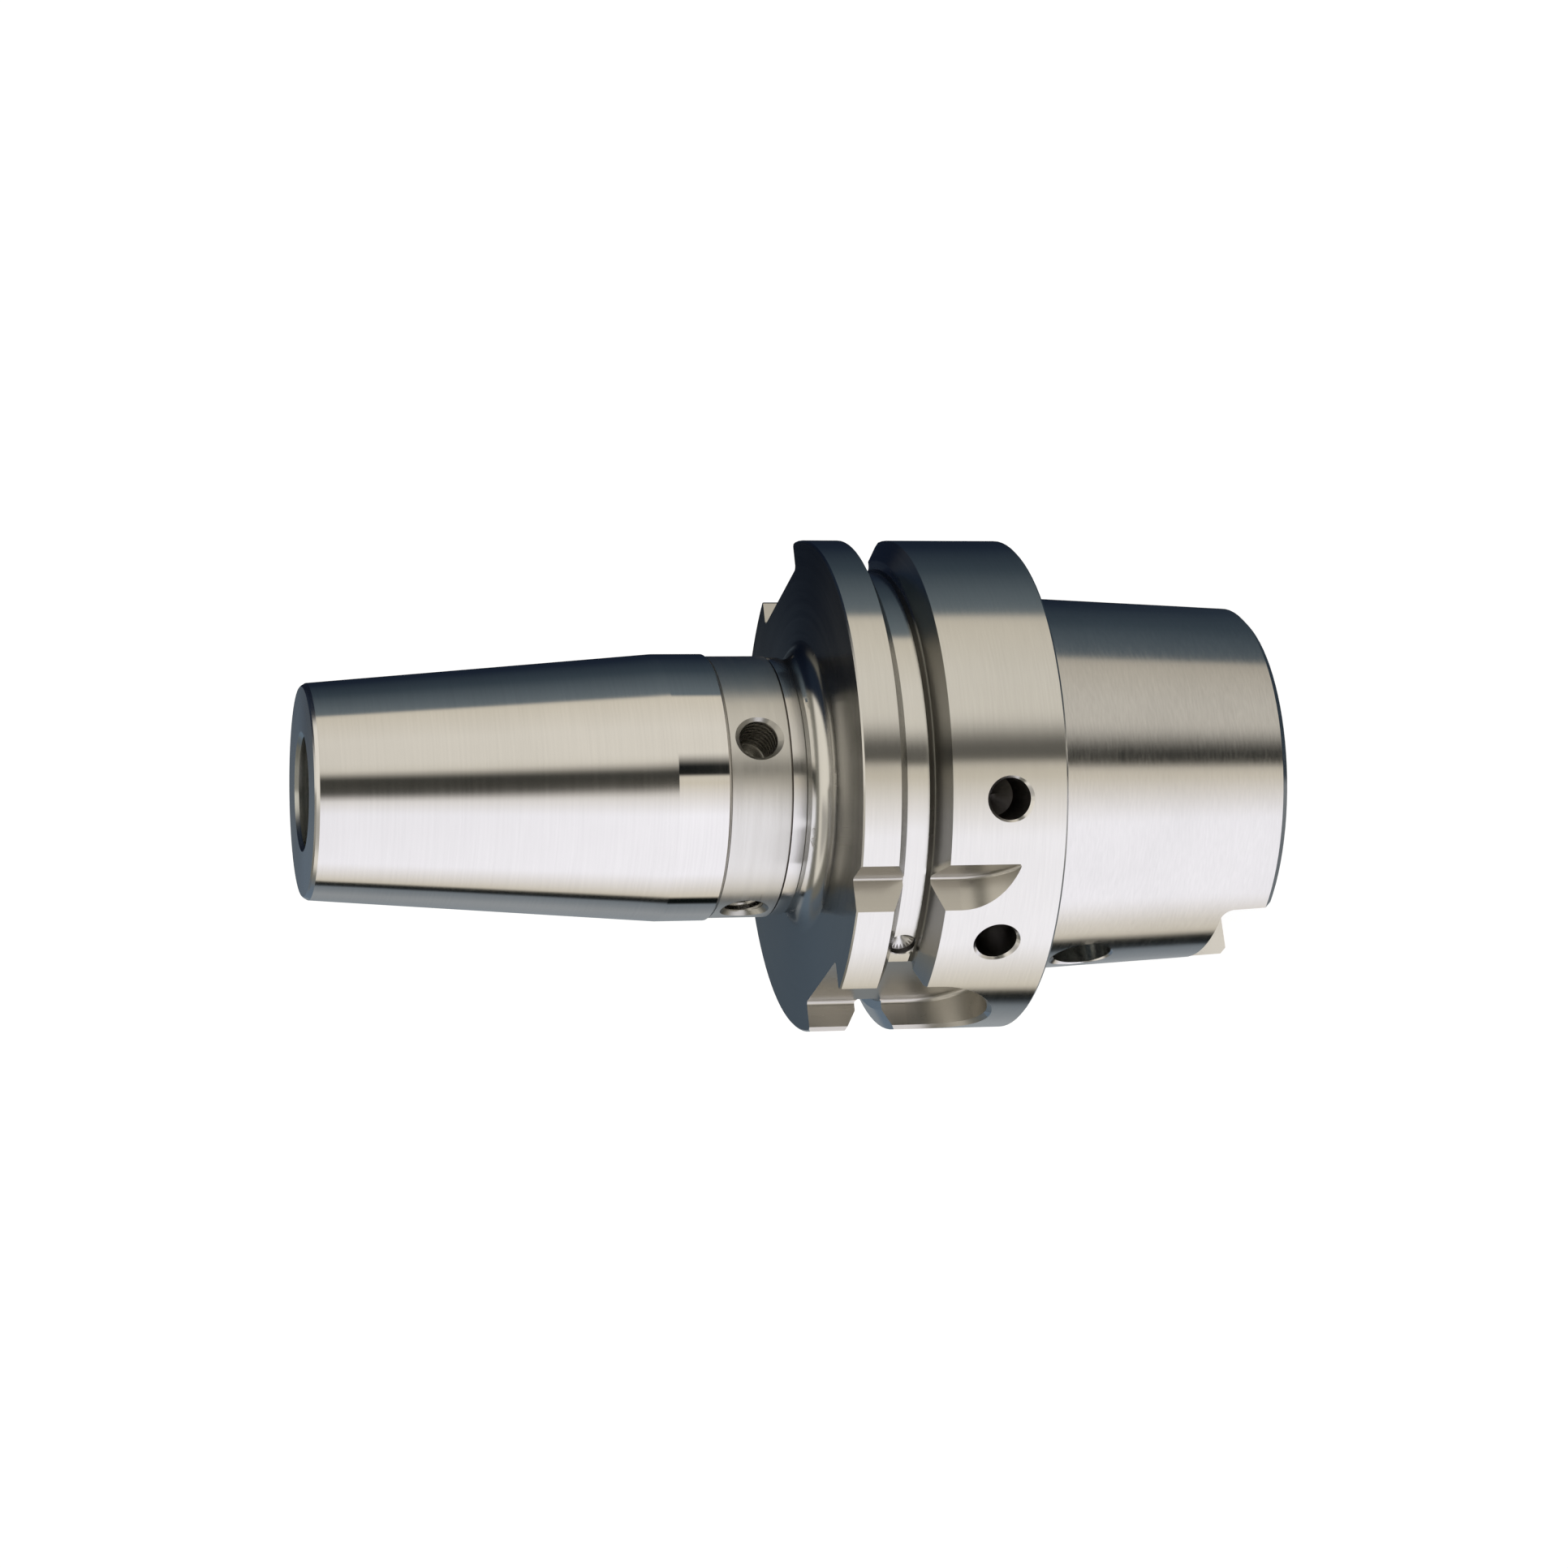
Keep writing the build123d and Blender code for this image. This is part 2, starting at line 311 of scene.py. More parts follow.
@dataclass(frozen=True)
class Finish:
    """One finish of the steel, with lengths in millimetres.

    The tool's marks are as wide as grain and as long as run. The steel keeps the share
    flat_angle of its shine where it is seen at a flat angle.
    """

    name: str
    colour: Colour
    roughness: float
    lay: Lay = Lay.AROUND
    grain: float = 0.3
    run: float = 14.0
    depth: float = 0.0006
    uneven: float = 0.25
    shade: float = 0.05
    directional: float = 0.5
    flat_angle: float = 1.0
    pitch: float = 1.0
    centre: float = 0.0

    def material(self) -> bpy.types.Material:
        """Builds the finish as a procedural material.

        Returns:
            The material.
        """
        made = bpy.data.materials.new(self.name)
        made.use_nodes = True
        bench = Bench(made.node_tree)
        x, y, z = (c * (1 / MM) for c in bench.split(bench.place("Object")))
        radius = (x * x + y * y) ** 0.5
        if self.lay is Lay.ALONG:
            across = (x * (1 / self.grain), y * (1 / self.grain), z * (1 / self.run))
        else:
            across = (x * (1 / self.run), y * (1 / self.run), (z + radius) * (1 / self.grain))
        marks = bench.noise(across, scale=1.0, detail=3.0)
        bands = bench.noise(tuple(c * BAND_SCALE for c in across), scale=1.0, detail=2.0)
        clouds = bench.noise((x, y, z), scale=CLOUD_SCALE, detail=3.0)
        height = marks * MARK_RELIEF + bands * BAND_RELIEF
        depth = self.depth
        if self.lay in (Lay.THREAD_X, Lay.THREAD_Y, Lay.THREAD_Z):
            height = self.thread(x, y, z) * THREAD_RELIEF + height * THREAD_MARKS
            depth = THREAD_DEPTH * self.pitch
        relief: dict[str, object] = {"Strength": 1.0, "Distance": depth * MM, "Height": height}
        if self.lay is Lay.AROUND:
            relief["Normal"] = self.trued(bench, x, y, radius)
        bump = bench.add("Bump", None, relief)
        worn = ROUGHNESS_WEAR.of(marks, bands, clouds)
        rough = (1 + worn * self.uneven * 2) * self.roughness
        tone = (TONE_WEAR.of(marks, bands, clouds) + 0.5).clamped()
        darker, lighter = (
            tuple(c * share for c in self.colour) for share in (1 - self.shade, 1 + self.shade)
        )
        shader = bench.add(
            "BsdfPrincipled",
            None,
            {
                "Base Color": bench.mix(tone, darker, lighter),
                "Metallic": 1.0,
                "Roughness": rough.clamped(),
                "Normal": bump.outputs[0],
                "Specular Tint": (self.flat_angle, self.flat_angle, self.flat_angle),
                "Anisotropic": self.directional,
                "Anisotropic Rotation": QUARTER_TURN,
            },
        )
        bench.add("OutputMaterial", None, {"Surface": shader.outputs[0]})
        return made

    def thread(self, x: Channel, y: Channel, z: Channel) -> Channel:
        """The wave of a thread, which climbs by its pitch in each turn.

        Args:
            x: Place along the first axis.
            y: Place along the second axis.
            z: Place along the tool axis.

        Returns:
            The wave, -1 to 1.
        """
        along, side, up = {
            Lay.THREAD_X: (abs(x), y, z - self.centre),
            Lay.THREAD_Y: (abs(y), x, z - self.centre),
            Lay.THREAD_Z: (z, x, y),
        }[self.lay]
        turn = along.math("ARCTAN2", up, side)
        return along.math("SINE", along * (2 * math.pi / self.pitch) + turn)

    @staticmethod
    def trued(bench: Bench, x: Channel, y: Channel, radius: Channel) -> bpy.types.NodeSocket:
        """Turns a slightly slanted normal straight out from the axis, as on a turned surface.

        Args:
            bench: The bench of the material.
            x: Place along the first axis.
            y: Place along the second axis.
            radius: Distance from the tool axis.

        Returns:
            The normal.
        """
        first, second, up = bench.split(bench.place("Normal"))
        slant = (second * x - first * y) / radius
        taken = slant * abs(slant).smooth(*TRUED_SLANT) / radius
        straight = bench.joined((first + y * taken, second - x * taken, up))
        settings = {"vector_type": "NORMAL", "convert_from": "OBJECT", "convert_to": "WORLD"}
        return bench.add("VectorTransform", settings, {0: straight}).outputs[0]


# The steel's colours, and the height of the tapped holes in the collar, in millimetres. Four dark
# colours are painted shade: in the relief groove, on the groove's flank that faces the shank, in
# the groove's root corner and in the drilled holes. The slot colour is partly the ground finish
# and partly a painted highlight.
STEEL: Colour = (0.68, 0.67, 0.655)
SATIN: Colour = (0.69, 0.68, 0.655)
BRIGHT: Colour = (0.74, 0.73, 0.72)
GROUND_AND_PAINTED_HIGHLIGHT: Colour = (0.92, 0.91, 0.9)
FACED: Colour = (0.60, 0.60, 0.60)
HONED: Colour = (0.62, 0.63, 0.61)
CUT: Colour = (0.54, 0.52, 0.48)
TAPPED: Colour = (0.46, 0.45, 0.42)
RELIEF_PAINTED_SHADE: Colour = (0.30, 0.28, 0.26)
FLANK_PAINTED_SHADE: Colour = (0.255, 0.25, 0.23)
HOLE_PAINTED_SHADE: Colour = (0.22, 0.21, 0.2)
SHADED: Colour = (0.2, 0.19, 0.17)
BLACKENED: Colour = (0.055, 0.055, 0.06)
TAP_HEIGHT = 35.0


class Steel(Enum):
    """The finishes on the holder. Some of their colours carry painted shade or a painted
    highlight.
    """

    NOSE = Finish("ground_nose", STEEL, 0.13, uneven=0.09)
    NOSE_BASE = Finish("polished_nose_base", STEEL, 0.07, uneven=0.15)
    COLLAR = Finish("turned_collar", SATIN, 0.33, grain=0.2, depth=0.001, uneven=0.2)
    BAND = Finish("ground_band", STEEL, 0.17, uneven=0.15)
    # Its dark colour is painted shade in the narrow relief groove below the collar.
    RELIEF = Finish("turned_relief", RELIEF_PAINTED_SHADE, 0.3)
    EDGE = Finish("bright_edge", BRIGHT, 0.2, shade=0.03, directional=0.0)
    NOSE_FACE = Finish("turned_nose_face", FACED, 0.26, run=30.0, depth=0.0005, uneven=0.1)
    FACE = Finish(
        "turned_face",
        SATIN,
        0.17,
        run=30.0,
        depth=0.0003,
        uneven=0.1,
        directional=0.8,
        flat_angle=0.45,
    )
    FLANGE = Finish(
        "ground_flange",
        SATIN,
        0.18,
        grain=0.25,
        run=6.0,
        depth=0.0003,
        uneven=0.12,
        directional=0.85,
    )
    GROOVE = Finish(
        "turned_groove", SATIN, 0.16, grain=0.2, depth=0.0005, uneven=0.15, directional=0.8
    )
    # Its dark colour is painted shade on the groove's flank that faces the shank.
    FLANK = Finish("turned_groove_flank", FLANK_PAINTED_SHADE, 0.2)
    CORNER = Finish("turned_groove_corner", SHADED, 0.3)
    SHANK = Finish("ground_taper", STEEL, 0.18, grain=0.25, run=1.5, uneven=0.15, shade=0.06)
    MILLED = Finish(
        "milled_wall",
        CUT,
        0.3,
        Lay.ALONG,
        grain=0.25,
        run=9.0,
        depth=0.0008,
        uneven=0.12,
        shade=0.04,
        directional=0.3,
    )
    # Its near-white colour is partly the ground finish and partly a painted highlight on the
    # driver slots' walls.
    SLOT = Finish(
        "ground_slot",
        GROUND_AND_PAINTED_HIGHLIGHT,
        0.25,
        Lay.ALONG,
        run=6.0,
        depth=0.0008,
        uneven=0.1,
        shade=0.03,
        directional=0.3,
    )
    # Its dark colour is painted shade on the walls and floors of the drilled holes.
    DRILLED = Finish("drilled_wall", HOLE_PAINTED_SHADE, 0.35, depth=0.001, shade=0.1, directional=0.0)
    DIMPLE = Finish("drill_point_dimple", BRIGHT, 0.34, shade=0.03, directional=0.0)
    SINK = Finish("countersunk_mouth", TAPPED, 0.3, depth=0.0008, directional=0.0)
    BORED = Finish("honed_bore", HONED, 0.22, depth=0.001)
    THREAD_X = Finish(
        "tapped_hole_x", TAPPED, 0.25, Lay.THREAD_X, centre=TAP_HEIGHT, directional=0.0
    )
    THREAD_Y = Finish(
        "tapped_hole_y", TAPPED, 0.25, Lay.THREAD_Y, centre=TAP_HEIGHT, directional=0.0
    )
    THREAD_Z = Finish("tapped_bore", TAPPED, 0.3, Lay.THREAD_Z, directional=0.0)


# Tolerances that tell the faces apart, in millimetres or in shares of a face's normal.
TOUCH = 0.01
LEAST_RADIUS = 1e-6
TURNED_SLANT = 0.04
LEVEL = 0.9
STRAIGHT = 0.98
INWARD = -0.05
RIM_OUTWARD = 0.3
SHANK_OUTWARD = 0.5
RIM_FLANK = -0.5
GROOVE_FLANK = -0.8
DRILLED_OUTWARD: Span = (-0.04, 0.95)
ROOT_OUTWARD: Span = (0.55, STRAIGHT)
BOTTOM_MARGIN = 0.2
MOUTH_MARGIN = 0.02
WALL_MARGIN = 0.03
RIM_MARGIN = 0.1
FLOOR_INSET = 0.25


@dataclass(frozen=True)
class Facet:
    """One face of a mesh. Lengths are in millimetres."""

    at: Vector
    normal: Vector

    @property
    def height(self) -> float:
        """Height above the contact face."""
        return self.at.z

    @property
    def radius(self) -> float:
        """Distance from the tool axis."""
        return math.hypot(self.at.x, self.at.y)

    @property
    def outward(self) -> float:
        """The normal's share away from the axis."""
        share = self.normal.x * self.at.x + self.normal.y * self.at.y
        return share / max(self.radius, LEAST_RADIUS)

    @property
    def turned(self) -> bool:
        """Whether the face could be turned about the tool axis, not milled or drilled."""
        slant = self.normal.y * self.at.x - self.normal.x * self.at.y
        return abs(slant) / max(self.radius, LEAST_RADIUS) < TURNED_SLANT

    @property
    def level(self) -> bool:
        """Whether the face lies across the tool axis."""
        return abs(self.normal.z) > LEVEL

    def off_axis(self, bearing: float, height: float) -> float:
        """Distance from the axis of a radial hole.

        Args:
            bearing: The hole's direction around the body, in degrees.
            height: The hole's height.

        Returns:
            The distance, or infinity on the far side of the body.
        """
        way = Vector((math.cos(math.radians(bearing)), math.sin(math.radians(bearing)), 0))
        if self.at.dot(way) < 0:
            return math.inf
        return (self.at - Vector((0, 0, height))).cross(way).length


@dataclass(frozen=True)
class Hole:
    """A radial hole, with its bearing in degrees and its lengths in millimetres.

    Its faces lie no further from the tool axis than its mouth.
    """

    bearing: float
    height: float
    radius: float
    chamfer: float
    mouth: float
    wall: Steel = Steel.DRILLED
    floor: Steel = Steel.DRILLED
    rim: Steel = Steel.EDGE

    def finish_of(self, facet: Facet) -> Steel | None:
        """The finish of a face of the hole.

        Args:
            facet: The face that is looked at.

        Returns:
            Its finish, or None if it isn't part of the hole.
        """
        if facet.radius > self.mouth + MOUTH_MARGIN:
            return None
        off = facet.off_axis(self.bearing, self.height)
        if off < self.radius - FLOOR_INSET:
            return self.floor
        if off < self.radius + WALL_MARGIN:
            return self.wall
        return self.rim if off < self.radius + self.chamfer + RIM_MARGIN else None


@dataclass
class HolderBody:
    """The one-piece steel body. Lengths are in millimetres, heights above the contact face.

    The bores lie within inner_radius, and the hollow of the shank within hollow_radius.
    """

    flange_radius: float = 31.5
    flange_width: float = 26.0
    flange_edge: float = 1.05
    groove_low: float = 14.75
    groove_high: float = 21.25
    groove_bottom: float = 27.5
    groove_root: float = 0.4
    contact_edge: float = 0.2
    band_low: float = 29.0
    relief_low: float = 30.9
    relief_radius: float = 16.45
    collar_low: float = 31.3
    collar_high: float = 38.8
    nose_base_top: float = 45.5
    nose_edge: float = 89.3
    bore_low: float = 42.9
    inner_radius: float = 9.4
    hollow_radius: float = 19.0
    passage_radius: float = 8.0
    stop_thread: Span = (22.0, 42.0)
    coolant_thread: Span = (2.0, 12.0)
    tap_radius: float = 2.5
    tap_chamfer: float = 1.0
    drill_height: float = 7.375
    drill_radius: float = 2.6
    drill_chamfer: float = 0.5
    drill_bearings: tuple[float, ...] = (30.3, 65.4)
    dimple_bearing: float = 22.5
    dimple_height: float = 18.0
    dimple_radius: float = 1.75
    dimple_chamfer: float = 0.2
    carrier_bearing: float = -90.0
    carrier_radius: float = 5.0
    carrier_chamfer: float = 0.4
    access_height: float = -8.9
    access_radius: float = 3.75
    access_chamfer: float = 0.6
    slot_floor: float = -23.9

    @cached_property
    def holes(self) -> tuple[Hole, ...]:
        """The radial holes: tapped, drilled, the dimple, the data carrier's and the access holes.

        Returns:
            The holes.
        """
        rim, low = self.flange_radius, self.drill_height
        tap = (TAP_HEIGHT, self.tap_radius, self.tap_chamfer, rim)
        about_x = (Steel.THREAD_X, Steel.THREAD_X, Steel.SINK)
        about_y = (Steel.THREAD_Y, Steel.THREAD_Y, Steel.SINK)
        bored = (Steel.BORED, Steel.BORED)
        access = (self.access_height, self.access_radius, self.access_chamfer, rim, *bored)
        drill = (low, self.drill_radius, self.drill_chamfer, rim)
        return (
            Hole(0.0, *tap, *about_x),
            Hole(90.0, *tap, *about_y),
            Hole(180.0, *tap, *about_x),
            Hole(270.0, *tap, *about_y),
            *(Hole(bearing, *drill) for bearing in self.drill_bearings),
            Hole(
                self.dimple_bearing,
                self.dimple_height,
                self.dimple_radius,
                self.dimple_chamfer,
                self.groove_bottom,
                floor=Steel.DIMPLE,
            ),
            Hole(self.carrier_bearing, low, self.carrier_radius, self.carrier_chamfer, rim),
            Hole(0.0, *access),
            Hole(180.0, *access),
        )

    def in_groove(self, facet: Facet) -> bool:
        """Whether a face lies at the height of the gripper groove."""
        return self.groove_low - TOUCH < facet.height < self.groove_high + TOUCH

    def finish_of(self, facet: Facet) -> Steel:
        """Chooses the finish of one face.

        Args:
            facet: The face.

        Returns:
            Its finish.
        """
        low, high = DRILLED_OUTWARD
        in_cone = low < facet.outward < high and not self.in_groove(facet)
        if in_cone or not facet.turned:
            finishes = (hole.finish_of(facet) for hole in self.holes)
            found = next((finish for finish in finishes if finish), None)
            if found:
                return found
        if facet.height > self.nose_edge and facet.normal.z > STRAIGHT:
            return Steel.NOSE_FACE
        hollow = facet.outward < INWARD and facet.turned and facet.radius < self.hollow_radius
        if hollow or facet.radius < self.inner_radius:
            return self.inside(facet)
        if facet.height > self.flange_width - TOUCH:
            return self.above_flange(facet)
        if facet.height >= -TOUCH:
            return self.flange(facet)
        return self.shank(facet)

    def inside(self, facet: Facet) -> Steel:
        """The finish of a face of the bore or of the hollow shank.

        Args:
            facet: The face.

        Returns:
            Its finish.
        """
        if facet.height > self.bore_low:
            return Steel.BORED
        low, high = self.stop_thread
        if low < facet.height < high:
            return Steel.THREAD_Z
        low, high = self.coolant_thread
        if low < facet.height < high and facet.radius > self.passage_radius:
            return Steel.THREAD_Z
        return Steel.BORED

    def above_flange(self, facet: Facet) -> Steel:
        """The finish of a face of the nose, collar, band, neck or tool side of the flange.

        Args:
            facet: The face.

        Returns:
            Its finish.
        """
        steps = (
            (self.nose_edge, Steel.EDGE),
            (self.nose_base_top, Steel.NOSE),
            (self.collar_high, Steel.NOSE_BASE),
            (self.collar_low, Steel.COLLAR),
        )
        for low, steel in steps:
            if facet.height > low:
                return steel
        if facet.height > self.relief_low and (facet.radius < self.relief_radius or facet.level):
            return Steel.RELIEF
        if facet.height > self.band_low:
            return Steel.BAND
        return Steel.FACE if facet.turned else Steel.MILLED

    def flange(self, facet: Facet) -> Steel:
        """The finish of a face of the flange, below its tool side.

        Args:
            facet: The face.

        Returns:
            Its finish.
        """
        if not facet.turned:
            return Steel.MILLED
        if facet.radius > self.flange_radius - self.flange_edge and facet.outward > RIM_OUTWARD:
            if self.in_groove(facet) and facet.normal.z < RIM_FLANK:
                return Steel.FLANK
            sloped = self.in_groove(facet) and facet.outward < STRAIGHT
            return Steel.GROOVE if sloped else Steel.FLANGE
        cut = self.groove_low < facet.height < self.groove_high
        if cut and facet.radius > self.groove_bottom - BOTTOM_MARGIN:
            if facet.normal.z < GROOVE_FLANK:
                return Steel.FLANK
            low, high = ROOT_OUTWARD
            at_root = facet.radius < self.groove_bottom + self.groove_root
            return Steel.CORNER if at_root and low < facet.outward < high else Steel.GROOVE
        return Steel.FACE if facet.height < self.contact_edge else Steel.MILLED

    def shank(self, facet: Facet) -> Steel:
        """The finish of a face outside on the shank, at its end or in a driver slot.

        Args:
            facet: The face.

        Returns:
            Its finish.
        """
        if facet.turned and facet.outward > SHANK_OUTWARD:
            return Steel.SHANK
        if facet.turned and facet.level:
            return Steel.FACE
        return Steel.SLOT if facet.height < self.slot_floor else Steel.MILLED

    def dress(self, node: bpy.types.Object) -> None:
        """Gives each face of the body its finish.

        Args:
            node: The body's object.
        """
        counts = paint(node, lambda facet: self.finish_of(facet).value)
        LOG.info("holder body: %s", counts)


@dataclass
class LengthStopScrew:
    """The set screw below the tool bore. Lengths are in millimetres."""

    thread_radius: float = 4.9
    ends: Finish = Finish(
        "blackened_steel", BLACKENED, 0.42, depth=0.002, shade=0.2, directional=0.0
    )
    thread: Finish = Finish(
        "blackened_thread", BLACKENED, 0.4, Lay.THREAD_Z, shade=0.2, directional=0.0
    )

    def finish_of(self, facet: Facet) -> Finish:
        """The thread's finish outside, the other one at the ends and in the socket."""
        return self.thread if facet.radius > self.thread_radius else self.ends

    def dress(self, node: bpy.types.Object) -> None:
        """Gives the screw its blackened thread and ends.

        Args:
            node: The screw's object.
        """
        LOG.info("length stop screw: %s", paint(node, self.finish_of))


def paint(node: bpy.types.Object, choose: Callable[[Facet], Finish]) -> dict[str, int]:
    """Gives an object a material slot for each finish, and each of its faces its slot.

    Args:
        node: The object.
        choose: Names the finish of a face.

    Returns:
        How many faces each finish got.
    """
    node.data.materials.clear()
    slots: dict[Finish, int] = {}
    counts: dict[str, int] = {}
    for face in node.data.polygons:
        finish = choose(Facet(face.center / MM, face.normal))
        if finish not in slots:
            slots[finish] = len(slots)
            node.data.materials.append(finish.material())
        face.material_index = slots[finish]
        counts[finish.name] = counts.get(finish.name, 0) + 1
    return counts


# How much brighter a panel is than the tone it shows, because the steel swallows a third.
PANEL_GAIN = 1.5


class Tone(Enum):
    """The tones that the studio's panels show in the steel, as display colours."""

    NIGHT = (14, 20, 32)
    DEEP = (24, 32, 44)
    SLATE = (50, 60, 68)
    DUSK = (81, 90, 99)
    BLUE = (88, 101, 114)
    MIST = (94, 103, 108)
    FOG = (106, 113, 119)
    GREY = (134, 138, 141)
    TAUPE = (100, 98, 90)
    WARM = (194, 187, 173)
    CREAM = (207, 202, 192)
    COOL = (236, 235, 241)
    BLACK = (10, 14, 14)

    @property
    def light(self) -> Colour:
        """The light of a panel that shows this tone in the steel."""
        return linear(*self.value, PANEL_GAIN)


@dataclass(frozen=True)
class Way:
    """A direction that light comes from.

    It is told by three shares: near to the camera, below towards the foot of the picture, and
    z up the tool axis. In the photograph's view the nose mirrors a z of about 0, its base
    -0.21, the flange -0.29, the taper of the shank -0.42, a flank of the groove that sees the
    other flank -0.4 to -0.7, the nose's face 0.12 and the tool's side of the flange 0.25.
    """

    bench: Bench
    near: Channel
    below: Channel
    z: Channel


@dataclass(frozen=True)
class Strip:
    """The dark strip of the studio: where its edges start, and how wide they fade, in degrees."""

    upper: float
    upper_fade: float
    lower: float
    lower_fade: float


@dataclass(frozen=True)
class Around:
    """The panels at the height of the holder, and the dark strip between them.

    Each span says where something starts and where it is there in full. Those of the first
    group are in z, and those of the second in turns around the holder: 0.25 is above it, 0.5
    at the camera and 0.75 below it. The third group says how much each does.
    """

    to_nose: Span = (-0.24, 0.04)
    to_shank: Span = (-0.2, -0.42)
    flange_starts: Span = (-0.23, -0.27)
    flange_ends: Span = (-0.33, -0.38)
    taper_starts: Span = (-0.18, -0.1)
    widened: Span = (-0.1, -0.45)
    slated: Span = (-0.3, -0.42)
    shaded: Span = (-0.2, -0.45)
    mirrored_twice: Span = (-0.47, -0.6)

    top: Span = (0.27, 0.25)
    past_top: Span = (0.25, 0.27)
    above_middle: Span = (0.49, 0.44)
    middle_down: Span = (0.44, 0.5)
    widened_from: float = 0.778

    widened_share: float = 0.6
    slate_share: float = 0.6
    shade_share: float = 0.38
    groove_share: float = 0.2
    flange_light: float = 0.33
    taper_light: float = 0.05
    nose_strip: Strip = Strip(-10.7, 5.5, 6.5, 5.6)
    flange_strip: Strip = Strip(-15.6, 6.7, -4.5, 1.6)
    shank_strip: Strip = Strip(-19.6, 10.7, -4.0, 2.9)

    def panels(self) -> list[tuple[float, Colour]]:
        """The panels, as a cylinder shows them.

        Returns:
            Place and light of each, from those seen 90 degrees above the line of sight to
            those 90 degrees below it.
        """
        seen = (
            (-90, Tone.NIGHT),
            (-74, Tone.DEEP),
            (-60, Tone.SLATE),
            (-43.5, Tone.MIST),
            (-42, Tone.WARM),
            (-26, Tone.CREAM),
            (-14, Tone.CREAM),
            (-2, Tone.WARM),
            (12, Tone.COOL),
            (40, Tone.COOL),
            (53.5, Tone.WARM),
            (54.5, Tone.BLACK),
            (57.8, Tone.BLACK),
            (58.8, Tone.FOG),
            (68, Tone.GREY),
            (90, Tone.FOG),
        )
        return [((degrees + 90) / 180, tone.light) for degrees, tone in seen]

    def strip(self, degrees: Channel, z: Channel) -> Channel:
        """How much the dark strip covers. Its place differs between nose, flange and shank.

        Args:
            degrees: Place in a cylinder, in degrees below the line of sight.
            z: How far a direction points up the tool axis.

        Returns:
            The share, 0 to 1.
        """
        rise, sink = z.smooth(*self.to_nose), z.smooth(*self.to_shank)
        strips = (astuple(one) for one in (self.nose_strip, self.flange_strip, self.shank_strip))
        upper, upper_fade, lower, lower_fade = (
            rise * (nose - flange) + sink * (shank - flange) + flange
            for nose, flange, shank in zip(*strips)
        )
        past_upper = ((degrees - upper) / upper_fade).smooth(0.0, 1.0)
        past_lower = ((lower - degrees) / lower_fade).smooth(0.0, 1.0)
        on_flange = z.smooth(*self.flange_starts) - z.smooth(*self.flange_ends)
        on_taper = z.smooth(*self.taper_starts)
        lighter = on_flange * self.flange_light + on_taper * self.taper_light
        return past_upper * past_lower * (1 - lighter)

    def colour(self, way: Way) -> bpy.types.NodeSocket:
        """The light from a direction.

        Args:
            way: The direction.

        Returns:
            The colour.
        """
        bench, z = way.bench, way.z
        turn = way.near.math("ARCTAN2", way.below, way.near) * (1 / (2 * math.pi)) + 0.5
        widening = z.smooth(*self.widened) * self.widened_share
        place = turn - (turn - self.widened_from).clamped() * widening
        lit = bench.add("ValToRGB", {"stops": self.panels()}, {0: place}).outputs[0]
        slate = z.smooth(*self.slated) * turn.smooth(*self.top) * self.slate_share
        lit = bench.mix(slate, lit, Tone.SLATE.light)
        upper_light = turn.smooth(*self.above_middle) * turn.smooth(*self.past_top)
        twice = z.smooth(*self.mirrored_twice)
        on_shank = z.smooth(*self.shaded) * upper_light * (1 - twice) * self.shade_share
        in_groove = twice * turn.smooth(*self.middle_down) * self.groove_share
        lit = bench.mix((on_shank + in_groove).clamped(), lit, BLACK)
        return bench.mix(self.strip(turn * 180 - 90, z), lit, Tone.BLACK.light)


@dataclass(frozen=True)
class Overhead:
    """The panels in front of the nose and above it.

    The name of each span ends with the share of the direction that it is in, and it says where
    something starts and where it is there in full.
    """

    past_face_z: Span = (0.13, 0.18)
    beside_face_below: Span = (0.1, 0.2)
    face_foot_below: Span = (-0.025, 0.02)
    high_rear_z: Span = (0.3, 0.5)
    high_rear_below: Span = (-0.3, -0.42)
    gap_below: Span = (-0.02, 0.05)
    gap_near: Span = (-0.5, -0.65)
    gap_z: Span = (0.35, 0.5)
    high_front_z: Span = (0.38, 0.5)
    low_front_z: Span = (0.6, 0.7)
    low_front_below: Span = (0.05, 0.35)
    low_front_near: Span = (-0.1, 0.25)
    low_front_share: float = 0.5
    front_near: Span = (-0.08, 0.12)
    foot_below: Span = (-0.03, 0.05)
    foot_slope: float = 0.5
    foot_set_back: float = 0.25
    flare: float = 0.1

    def colour(self, way: Way) -> bpy.types.NodeSocket:
        """The light from a direction.

        Args:
            way: The direction.

        Returns:
            The colour.
        """
        bench, near, below, z = way.bench, way.near, way.below, way.z
        tones = (Tone.NIGHT, Tone.DEEP, Tone.DUSK, Tone.BLUE, Tone.TAUPE, Tone.CREAM)
        night, deep, dusk, blue, taupe, cream = (tone.light for tone in tones)
        off_face = z.smooth(*self.past_face_z) + abs(below).smooth(*self.beside_face_below)
        back = bench.mix(below.smooth(*self.face_foot_below), night, blue)
        back = bench.mix(off_face.clamped(), dusk, back)
        high = bench.mix(below.smooth(*self.high_rear_below), taupe, deep)
        rear = bench.mix(z.smooth(*self.high_rear_z), back, high)
        gap = below.smooth(*self.gap_below) * near.smooth(*self.gap_near)
        rear = bench.mix(gap * z.smooth(*self.gap_z), rear, dusk)
        front = bench.mix(z.smooth(*self.high_front_z), taupe, cream)
        low = z.smooth(*self.low_front_z) * below.smooth(*self.low_front_below)
        low = low * near.smooth(*self.low_front_near) * self.low_front_share
        front = bench.mix(low, front, deep)
        foot = (below * self.foot_slope - self.foot_set_back) * below.smooth(*self.foot_below)
        reach = near + abs(below) * self.flare + foot
        return bench.mix(reach.smooth(*self.front_near), rear, front)


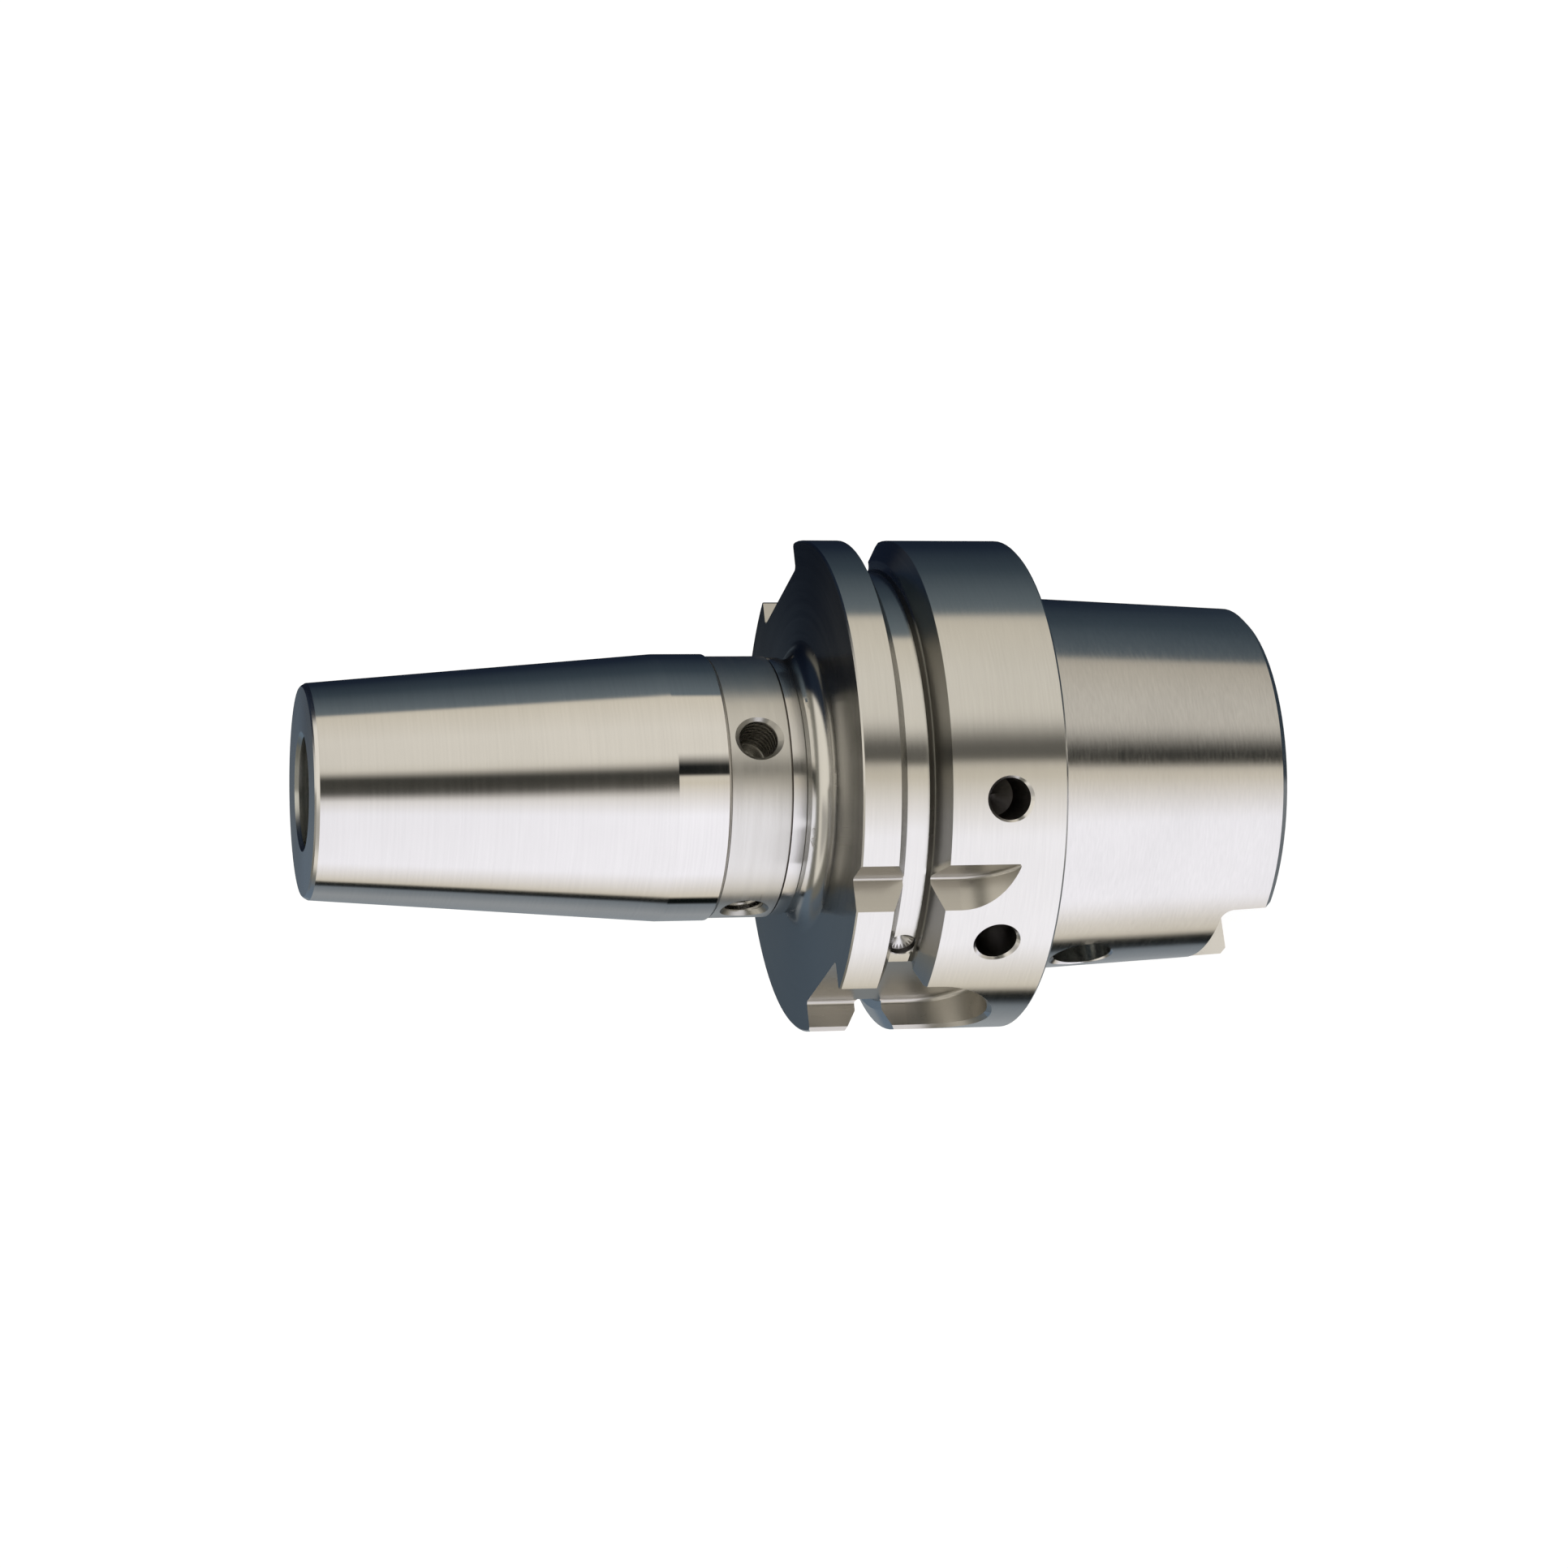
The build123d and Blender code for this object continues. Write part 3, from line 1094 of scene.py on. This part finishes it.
@dataclass
class Studio:
    """White surroundings with soft panels of light, and the camera. Lengths are in metres.

    The camera's place and directions fit the photograph. The level direction from the holder
    to the camera is front.
    """

    floor_height: float = -0.032
    floor_side: float = 12.0
    floor_colour: Colour = (0.8, 0.8, 0.8)
    floor_glow: float = 1.55
    floor_share: float = 0.6
    focal_length: float = 89.8
    sensor: float = 36.0
    camera_at: tuple[float, float, float] = (0.17624, 0.45409, 0.14843)
    camera_right: tuple[float, float, float] = (0.09733, 0.21938, -0.97077)
    camera_forward: tuple[float, float, float] = (-0.35181, -0.90485, -0.23976)
    front: tuple[float, float] = (0.3665, 0.9304)
    overhead_tilt: float = 0.03
    overhead_z: Span = (0.04, 0.10)

    def set_camera(self) -> None:
        """Sets the camera at the photograph's angle and distance."""
        forward = Vector(self.camera_forward).normalized()
        right = Vector(self.camera_right)
        right = (right - right.dot(forward) * forward).normalized()
        up = right.cross(forward)
        turn = Matrix((right, up, -forward)).transposed().to_4x4()
        data = bpy.data.cameras.new("camera")
        data.lens = self.focal_length
        data.sensor_width = self.sensor
        data.sensor_fit = "HORIZONTAL"
        data.clip_start = 0.01
        data.clip_end = 50.0
        camera = bpy.data.objects.new("camera", data)
        camera.matrix_world = Matrix.Translation(Vector(self.camera_at)) @ turn
        bpy.context.scene.collection.objects.link(camera)
        bpy.context.scene.camera = camera
        LOG.info("camera: %.1f mm lens", data.lens)

    @staticmethod
    def seen_straight(bench: Bench, path: bpy.types.Node) -> Channel:
        """Whether a ray comes from the camera or through glass, and not from the steel.

        Args:
            bench: The bench of the material or the surroundings.
            path: Its Light Path node.

        Returns:
            1 for such a ray, 0 for others.
        """
        through = Channel(bench, path.outputs["Is Transmission Ray"])
        return (through + Channel(bench, path.outputs["Is Camera Ray"])).clamped()

    def light(self) -> None:
        """Builds the surroundings: white to the eye, panels of light to the steel."""
        world = bpy.data.worlds.new("studio")
        world.use_nodes = True
        bpy.context.scene.world = world
        bench = Bench(world.node_tree)
        x, y, z = bench.split(bench.place("Generated"))
        near = x * self.front[0] + y * self.front[1]
        below = x * self.front[1] - y * self.front[0]
        way = Way(bench, near, below, z)
        up = (z - near * self.overhead_tilt).smooth(*self.overhead_z)
        surroundings = bench.mix(up, Around().colour(way), Overhead().colour(way))
        lit = bench.add("Background", None, {0: surroundings, 1: 1.0})
        white = bench.add("Background", None, {0: WHITE, 1: 1.0})
        straight = self.seen_straight(bench, bench.add("LightPath"))
        bench.add("OutputWorld", None, {"Surface": bench.choose(straight, lit, white).outputs[0]})
        LOG.info("studio: panels of light around the holder")

    def lay_floor(self) -> None:
        """Lays the pale floor that the holder stands on. The steel doesn't mirror it."""
        half = self.floor_side / 2
        corners = [(-half, -half), (half, -half), (half, half), (-half, half)]
        mesh = bpy.data.meshes.new("floor")
        mesh.from_pydata([(a, b, self.floor_height) for a, b in corners], [], [(0, 1, 2, 3)])
        floor = bpy.data.objects.new("floor", mesh)
        bpy.context.scene.collection.objects.link(floor)
        made = bpy.data.materials.new("pale_floor")
        made.use_nodes = True
        bench = Bench(made.node_tree)
        path = bench.add("LightPath")
        white = bench.add("Emission", None, {0: WHITE, 1: self.floor_glow})
        matt = bench.add("BsdfDiffuse", None, {0: self.floor_colour})
        clear = bench.add("BsdfTransparent")
        seen = bench.choose(self.seen_straight(bench, path) * self.floor_share, matt, white)
        shown = bench.choose(path.outputs["Is Glossy Ray"], seen, clear)
        bench.add("OutputMaterial", None, {"Surface": shown.outputs[0]})
        floor.data.materials.append(made)
        LOG.info("floor: %.0f m", self.floor_side)


def main() -> None:
    """Builds the scene in order."""
    logging.basicConfig(level=logging.INFO, format="%(name)s: %(message)s")
    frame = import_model()
    HolderBody().dress(frame["nodes"]["holder_body"])
    LengthStopScrew().dress(frame["nodes"]["length_stop_screw"])
    studio = Studio()
    studio.light()
    studio.lay_floor()
    studio.set_camera()
    bpy.context.scene.view_settings.view_transform = "Standard"


if __name__ == "__main__":
    main()
